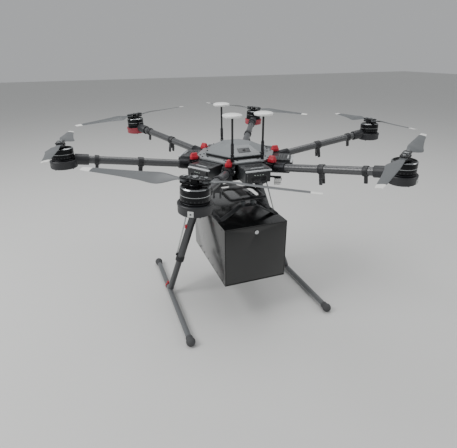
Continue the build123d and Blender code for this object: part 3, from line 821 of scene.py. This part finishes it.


# ---- Motors and hubs ----------------------------------------------------------------
# Black anodised outrunner bells with a bright turned rim, a spoked top and a painted glint ring round the
# middle. Two clamp plates on the shaft hold the blades between them on steel shoulder bolts.
# turned, then anodised black: tight round highlights
bell_black = grained("turned black anodised bell", "#1d1e20", 0.3, 1.2, 0.01, tone=0.06, metal=0.7)
# diamond-cut edge: a thin mirror-bright line. The same bright metal makes a painted glint ring round the
# middle of each bell.
bright_metal_and_painted_glint = grained("diamond-cut aluminium and painted glint", "#b9bcbd", 0.24, 0.8, 0.01, tone=0.04, metal=1.0)


def hub_place(name):
    """Frame of a propeller hub: Z up the shaft, X towards the bolt of the first blade."""
    hub = Vector(joints[f"spin_{name}"]["pos_m"])
    up = Vector(joints[f"spin_{name}"]["axis"])
    way = (Vector(joints[f"blade_a_fold_{name}"]["pos_m"]) - hub).normalized()
    return standing(way, up.cross(way), up, hub)


for name in ARM_NAMES:
    place = hub_place(name)
    body = f"rotor_{name}"
    parts = solids(body)
    take(parts, (0, 0, -28), place.inverted()).free()
    clamp = take(parts, (0, 0, -3.3), place.inverted())
    bell = turned(
        [(29.5, -45.9), (32.6, -45.9), (33.5, -45), (33.5, -20.6), (33.1, -20.2), (33.1, -19.4), (33.5, -19),
         (33.4, -17.4), (31.8, -15.4), (30.4, -15.0), (28.6, -15.0), (28.0, -16.6), (15, -16.6), (15, -18.5),
         (28.4, -18.5), (29.5, -20)],
        place, 64, closed=True,
    )
    piece(f"bell_{name}", bell, bell_black, body, body)
    rim = [(30.4, -15.2), (31.9, -15.5), (33.1, -16.9), (32.4, -16.4), (30.4, -14.7)]
    rim = turned(rim, place, 64, closed=True)
    piece(f"bell_rim_{name}", rim, bright_metal_and_painted_glint, body)
    ring_of(f"bell_spokes_{name}", 12, 21.5, (12.5, 2.4, 1.3), -16.2, place, bell_black, body)
    ring_of(f"bell_vents_{name}", 24, 33.35, (0.6, 2.2, 3.4), -41.5, place, pod_black, body)
    # painted highlight: a bright metal ring round the middle of the bell standing in for the glint of light
    # seen there
    painted_glint_ring = turned([(33.2, -32.9), (33.75, -32.6), (33.75, -31.4), (33.2, -31.1)], place, 64, closed=True)
    piece(f"bell_painted_glint_{name}", painted_glint_ring, bright_metal_and_painted_glint, body)
    boss = turned([(4, -46), (4, -17), (15, -17), (15, -11.2), (14, -10.05), (0, -10.05)], place, 40)
    piece(f"bell_boss_{name}", boss, bell_black, body)
    piece(f"blade_clamp_{name}", eased(clamp, 0.6), bell_black, body)
    for number, part in enumerate(parts):
        piece(f"hub_bolt_{name}_{number}", eased(part, 0.5), bright_metal_and_painted_glint, body)
    heads = []
    for x, y in ((-12, 5.5), (12, 5.5), (-12, -5.5), (12, -5.5)):
        heads.append((place @ (Vector((x, y, 4.0)) / 1000), place.to_3x3() @ UP))
    screws(f"clamp_plate_screws_{name}", heads, 2.3, 1.8, body, bright_metal_and_painted_glint)


# ---- Propellers ---------------------------------------------------------------------
# Folding blades moulded in carbon-filled nylon, satin grey, with the last stretch of each
# squared tip painted white. A bolt eye at the root turns between the clamp plates.
# distance from the bolt, chord, thickness, pitch in degrees, and sweep of the chord's middle
BLADE_ROWS = (
    (8.0, 15.0, 4.4, 0.0, 0.0),
    (15.0, 15.0, 4.6, 3.0, 0.0),
    (34.0, 31.0, 5.0, 15.0, -5.0),
    (56.0, 44.0, 4.6, 17.0, -9.0),
    (100.0, 37.0, 3.8, 13.0, -5.0),
    (160.0, 28.0, 3.0, 10.0, -2.0),
    (205.0, 23.0, 2.4, 8.0, -0.5),
    (242.7, 17.0, 1.8, 6.0, 0.5),
)
BLADE_MID = -3.0
TIP_PAINT = 24.0


def blade_row(reach):
    """Chord, thickness, pitch and sweep at a distance from the bolt, on smooth curves."""
    last = len(BLADE_ROWS) - 1
    at = max(i for i in range(last) if BLADE_ROWS[i][0] <= reach + 1e-6)
    before, here = BLADE_ROWS[max(at - 1, 0)], BLADE_ROWS[at]
    after, beyond = BLADE_ROWS[at + 1], BLADE_ROWS[min(at + 2, last)]
    span = after[0] - here[0]
    t = (reach - here[0]) / span
    values = []
    for k in range(1, 5):
        m0 = (after[k] - before[k]) / (after[0] - before[0]) * span
        m1 = (beyond[k] - here[k]) / (beyond[0] - here[0]) * span
        values.append(
            here[k] * (2 * t**3 - 3 * t**2 + 1) + after[k] * (3 * t**2 - 2 * t**3)
            + m0 * (t**3 - 2 * t**2 + t) + m1 * (t**3 - t**2)
        )
    return values


def blade_mesh(turn, place):
    """Twisted aerofoil lofted along X, with the reach stored on its points."""
    mesh = bmesh.new()
    reached = mesh.verts.layers.float.new("reach")
    around, rings, root, tip = 28, [], BLADE_ROWS[0][0], BLADE_ROWS[-1][0]
    steps = 44
    for i in range(steps + 1):
        reach = root + (tip - root) * i / steps
        chord, thick, pitch, sweep = blade_row(reach)
        tilt = math.radians(turn * pitch)
        ring = []
        for k in range(around):
            angle = math.tau * k / around
            u = (1 - math.cos(angle)) / 2
            y = turn * chord * (0.5 - u)
            swell = 2.6 * math.sqrt(u) * (1 - u) + 0.05
            z = thick / 2 * swell * (1 if angle < math.pi else -0.8) * min(1.0, 4 * math.sin(angle / 2) + 0.2)
            z += 0.12 * thick * 4 * u * (1 - u)
            spot = Vector((reach, turn * sweep + y * math.cos(tilt) - z * math.sin(tilt),
                           BLADE_MID + y * math.sin(tilt) + z * math.cos(tilt)))
            vert = mesh.verts.new(place @ (spot / 1000))
            vert[reached] = reach
            ring.append(vert)
        rings.append(ring)
    for low, high in zip(rings, rings[1:]):
        for k in range(around):
            mesh.faces.new([low[k], low[(k + 1) % around], high[(k + 1) % around], high[k]])
    mesh.faces.new(list(reversed(rings[0])))
    mesh.faces.new(rings[-1])
    bmesh.ops.recalc_face_normals(mesh, faces=mesh.faces)
    return mesh


def blade_finish():
    """Satin grey moulded blade whose tip is sprayed white past a crisp edge."""
    material = grained("carbon-filled nylon blade", "#5a5d5f", 0.36, 0.6, 0.03, tone=0.06)
    tree = material.node_tree
    shader = tree.nodes["Principled BSDF"]
    below = shader.inputs["Base Color"].links[0].from_socket
    reach = add(tree, "ShaderNodeAttribute", attribute_name="reach")
    painted = add(
        tree, "ShaderNodeMath", {0: reach.outputs["Fac"], 1: BLADE_ROWS[-1][0] - TIP_PAINT},
        operation="GREATER_THAN",
    )
    sprayed = add(
        tree, "ShaderNodeMix", {0: painted.outputs[0], 6: below, 7: linear("#e6e6e2")}, data_type="RGBA"
    )
    tree.links.new(sprayed.outputs[2], shader.inputs["Base Color"])
    return material


blade_nylon = blade_finish()
for name in ARM_NAMES:
    up = Vector(joints[f"spin_{name}"]["axis"])
    hub = Vector(joints[f"spin_{name}"]["pos_m"])
    turn = -1 if up.dot(UP.cross(outward(name))) > 0 else 1
    for letter in ("a", "b"):
        bolt = Vector(joints[f"blade_{letter}_fold_{name}"]["pos_m"])
        way = (bolt - hub).normalized()
        place = standing(way, up.cross(way), up, bolt)
        eye = [(2.6, -6), (8.9, -6), (9.5, -5.4), (9.5, -0.6), (8.9, 0), (2.6, 0)]
        eye = turned(eye, place, 32, closed=True)
        body = f"blade_{letter}_{name}"
        piece(body + "_skin", [blade_mesh(turn, place), eye], blade_nylon, body, body)


# ---- Antennas -----------------------------------------------------------------------
# Three slim carbon masts on hinged feet, each with a white domed satellite antenna: two
# glossy ASA shells joined at a seam.
# glossy ASA: the brightest white on the aircraft
antenna_white = grained("glossy white ASA", "#f1f2f0", 0.24, 0.9, 0.01, tone=0.02, rubbed=0.0)
# pultruded rod: black with a narrow lengthwise highlight
mast_carbon = grained("pultruded carbon rod", "#1c1d1f", 0.34, 0.5, 0.02)
ANTENNA_TOP = 134.0
for mast in ("front", "rear_left", "rear_right"):
    body = f"antenna_{mast}"
    node = f"antenna_mast_{mast}"
    foot = Vector(joints[f"mast_fold_{mast}"]["pos_m"])
    place = Matrix.Translation(foot)
    parts = solids(node)
    stem = take(parts, (0, 0, 15), place.inverted())
    pin = take(parts, (0, 0, 0), place.inverted())
    for part in parts:
        part.free()
    piece(f"mast_foot_{mast}", eased(stem, 0.5), clamp_black, body, node)
    piece(f"mast_pin_{mast}", eased(pin, 0.3), pin_steel, body)
    pole = turned([(0, 30), (3.5, 30), (3.5, 118), (5.2, 118.6), (6.4, 121.4), (0, 121.4)], place, 32)
    piece(f"mast_pole_{mast}", pole, mast_carbon, body)
    nut = [(5.2, 33), (5.2, 36), (4.6, 37.2), (4.6, 39.5), (3.4, 40.6), (3.2, 33)]
    nut = turned(nut, place, 32, closed=True)
    piece(f"mast_nut_{mast}", nut, black_anodised, body)
    dome = [
        (0, 121.0), (26, 121.0), (29.4, 122.2), (30.8, 124.4), (31, 126.4), (30.5, 126.7),
        (30.5, 127.2), (31, 127.5),
    ]
    for i in range(1, 13):
        angle = math.radians(7.5 * i)
        dome.append((31 * math.cos(angle) if i < 12 else 0, 127.5 + (ANTENNA_TOP - 127.7) * math.sin(angle)))
    piece(f"antenna_dome_{mast}", turned(dome, place, 56), antenna_white, body)


# ---- Damper plate -------------------------------------------------------------------
# A black carbon plate with four large oval openings hangs from four standoffs. Silicone
# balls between it and the case bracket take up vibration.
# silicone: grey, soft and dry
damper_rubber = grained("grey silicone damper", "#55585a", 0.6, 0.8, 0.03, tone=0.06)
hanger = solids("damper_plate")
hanger_plate = take(hanger, (0, 0, -71))
piece("hanger_plate", eased(hanger_plate, 0.5), carbon_plate, "airframe", "damper_plate")
HANGER_TOP = -69.0
hanger_screws, dampers, standoffs = [], [], []
for part in hanger:
    spot, size = size_of(part)
    part.free()
    place = Matrix.Translation((spot.x / 1000, spot.y / 1000, 0))
    if size.z > 40:
        standoffs.append(turned(
            [(0, -69), (4, -69), (4, -60), (3.2, -59), (3.2, -12), (4, -11), (4, -0.1), (0, -0.1)], place, 12,
        ))
    else:
        dampers.append(turned(
            [(0, -94), (7, -94), (7, -92.4), (4.6, -91.2), (4.6, -90), (7.6, -87.8), (9, -83.5), (7.6, -79.2),
             (4.6, -77), (4.6, -75.8), (7, -74.6), (7, -73), (0, -73)], place, 32,
        ))
    hanger_screws.append((Vector((spot.x, spot.y, HANGER_TOP + 0.8)) / 1000, UP))
piece("standoffs", standoffs, black_anodised, "airframe")
piece("dampers", dampers, damper_rubber, "airframe")
for x in (-1, 1):
    for y in (-1, 1):
        hanger_screws.append((Vector((x * 62, y * 118, HANGER_TOP + 0.8)) / 1000, UP))
screws("hanger_screws", hanger_screws, 2.8, 2.0, "airframe")


# ---- Case bracket -------------------------------------------------------------------
# Two bridges bent from steel strip, powder-coated black, run down to side rails that are
# bolted along the top of the case with button-head bolts.
# powder coat: black with a fine pebbled sheen
powder_black = grained("black powder-coated steel", "#232426", 0.4, 0.9, 0.06, tone=0.06)
bracket = solids("case_bracket")
piece("case_bridges", eased(bracket[0], 0.4), powder_black, "airframe", "case_bracket")
RAIL_TOP = -136.8
rail_bolts = []
for x in (-106.5, 106.5):
    for y in (-118, -80, -40, 0, 40, 80, 118):
        rail_bolts.append((Vector((x, y, RAIL_TOP + 1.0)) / 1000, UP))
screws("rail_bolts", rail_bolts, 3.6, 2.2, "airframe")


# ---- Payload case -------------------------------------------------------------------
# A box folded from thin steel sheet and sprayed semi-gloss black. Corner seams are riveted,
# and the rear is a drop-down door on a bottom hinge.
def sprayed_sheet():
    """Semi-gloss spray paint on sheet: near-black face on, with slight orange peel, and
    bright where the gloss coat is seen along the sheet."""
    material = grained(
        "semi-gloss sprayed black sheet", "#0d0e0f", 0.26, 2.6, 0.012, tone=0.06, patch_mm=120.0, swing=0.02,
        rubbed=0.25,
    )
    shader = material.node_tree.nodes["Principled BSDF"]
    shader.inputs["Specular IOR Level"].default_value = 0.35
    shader.inputs["Coat Weight"].default_value = 0.6
    shader.inputs["Coat Roughness"].default_value = 0.15
    shader.inputs["Coat IOR"].default_value = 1.6
    return material


case_paint = sprayed_sheet()
shell = solids("case_shell")
case_low, case_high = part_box("case_shell")
body_shell = take(shell, (0, 0, -248))
piece("case_body", eased(body_shell, 0.8, 3), case_paint, "airframe", "case_shell")
for number, part in enumerate(shell):
    piece(f"case_keeper_{number}", eased(part, 0.4), powder_black, "airframe")
RIVET_PITCH = 0.055
rivets = []
for x, out in ((case_low.x, -1), (case_high.x, 1)):
    for edge in (case_low.z + 0.010, case_high.z - 0.010):
        y = case_low.y + 0.03
        while y < case_high.y - 0.015:
            rivets.append((Vector((x + out * 0.0002, y, edge)), Vector((out, 0, 0))))
            y += RIVET_PITCH
screws("case_rivets", rivets, 2.4, 1.2, "airframe", powder_black)

door = solids("case_door")
piece("door_panel", eased(door[0], 0.6), case_paint, "case_door", "case_door")
for number, part in enumerate(door[1:]):
    piece(f"door_part_{number}", eased(part, 0.4), case_paint, "case_door")
# chrome plate: a small bright disc on the black door
chrome = grained("polished chrome plate", "#c9cbcc", 0.12, 1.0, 0.004, tone=0.03, metal=1.0)
lock = solids("door_lock")
piece("lock_body", eased(lock[0], 0.3), chrome, "door_lock", "door_lock")
for number, part in enumerate(lock[1:]):
    piece(f"lock_part_{number}", eased(part, 0.3), chrome, "door_lock")


# ---- Landing legs -------------------------------------------------------------------
# Each leg is a carbon tube in an upper sleeve, hung on a milled knuckle, with a polished
# gas strut beside it. A tee at its foot grips the skid tube, and red parts lock both.
# polished rod: a thin bright line beside the leg
strut_steel = grained("polished strut rod", "#c4c6c7", 0.16, 0.8, 0.005, tone=0.04, metal=1.0)
# wrapped tube, worn: a grey satin highlight down each leg
leg_tube = twill("carbon twill leg tube", "#3c3d3f", "#494a4c", 3.0, "UV", 0.36)
# the skid tubes are the same laminate left unpolished, dusty and paler
skid_carbon = twill("dusty carbon skid tube", "#565859", "#626466", 3.0, "UV", 0.45)
# moulded rubber, scuffed grey by the ground
foot_rubber = grained("moulded grey rubber", "#474849", 0.8, 1.2, 0.1, tone=0.06)
LEG_FOOT = (265.0, 55.0, -492.5)
# radius, wall, and the two ends down the leg
SLEEVE = (15.0, 2.4, 24.0, 323.0)
LOWER = (12.0, 1.6, 318.0, 471.6)
SKID_ENDS = (-269.0, 300.0)
SKID_R = 10.0
FOOT_R = 16.0
for side, sign in (("right", 1), ("left", -1)):
    body = f"leg_{side}"
    hinge = Vector(joints[f"leg_retract_{side}"]["pos_m"])
    foot = Vector((sign * LEG_FOOT[0], LEG_FOOT[1], LEG_FOOT[2])) / 1000
    down = (foot - hinge).normalized()
    along = Vector((0, 1, 0))
    out = along.cross(down)
    out = out if out.x * sign > 0 else -out
    across = down.cross(out)
    place = standing(out, across, down, hinge)
    to_local = place.inverted()
    parts = solids(body)
    for spot in ((0, 0, 173.5), (0, 0, 265)):
        take(parts, spot, to_local).free()
    knuckle = take(parts, (0, 0, 6), to_local)
    pin = take(parts, (0, 0, 0), to_local)
    collar = take(parts, (0, 0, 333), to_local)
    crank = take(parts, (23, 0, 50), to_local)
    lug = take(parts, (16, 0, 317), to_local)
    strut = take(parts, (26, 0, 184), to_local)
    clip = take(parts, (13.5, 0, 197), to_local)
    take(parts, (foot.x * 1000, 15.5, LEG_FOOT[2])).free()
    clamp = take(parts, (foot.x * 1000, 90, -488))
    sleeve = tube_ring(*SLEEVE, place)
    piece(f"leg_sleeve_{side}", sleeve, leg_tube, body, body)
    lower = tube_ring(*LOWER, place)
    piece(f"leg_lower_{side}", lower, leg_tube, body)
    piece(f"leg_knuckle_{side}", eased(knuckle, 0.8), black_anodised, body)
    piece(f"leg_pin_{side}", eased(pin, 0.4), pin_steel, body)
    piece(f"leg_collar_{side}", eased(collar, 0.8), clamp_black, body)
    for label, part in (("crank", crank), ("lug", lug), ("tee", parts[0])):
        piece(f"leg_{label}_{side}", eased(part, 0.7), clamp_black, body)
    piece(f"strut_rod_{side}", eased(strut, 0.3), strut_steel, body)
    piece(f"leg_clip_{side}", eased(clip, 0.7), crimson, body)
    piece(f"skid_lock_{side}", eased(clamp, 0.7), crimson, body)
    skid_place = Matrix.Translation((foot.x, 0, foot.z)) @ Matrix.Rotation(-math.pi / 2, 4, "X")
    skid = tube_ring(SKID_R, 1.6, SKID_ENDS[0] + 6, SKID_ENDS[1] - 6, skid_place)
    piece(f"skid_tube_{side}", skid, skid_carbon, body)
    bungs = []
    for end, way in ((SKID_ENDS[0], 1), (SKID_ENDS[1], -1)):
        ball = [(0, -FOOT_R)]
        for i in range(1, 11):
            angle = math.radians(-90 + 13.5 * i)
            ball.append((FOOT_R * math.cos(angle), FOOT_R * math.sin(angle)))
        ball += [(12.4, 12.6), (12.4, 22), (11.6, 23), (0, 23)]
        turn = Matrix.Identity(4) if way > 0 else Matrix.Rotation(math.pi, 4, "X")
        bungs.append(turned(ball, skid_place @ Matrix.Translation((0, 0, end / 1000)) @ turn, 48))
    piece(f"feet_rubber_{side}", bungs, foot_rubber, body, f"feet_{side}")
    pinch = []
    for drop in (328, 338):
        for wide in (-1, 1):
            pinch.append((place @ (Vector((0, wide * 17, drop)) / 1000), across * wide))
    screws(f"leg_screws_{side}", pinch, 2.3, 1.8, body)


# ---- Final update -------------------------------------------------------------------
bpy.context.view_layer.update()
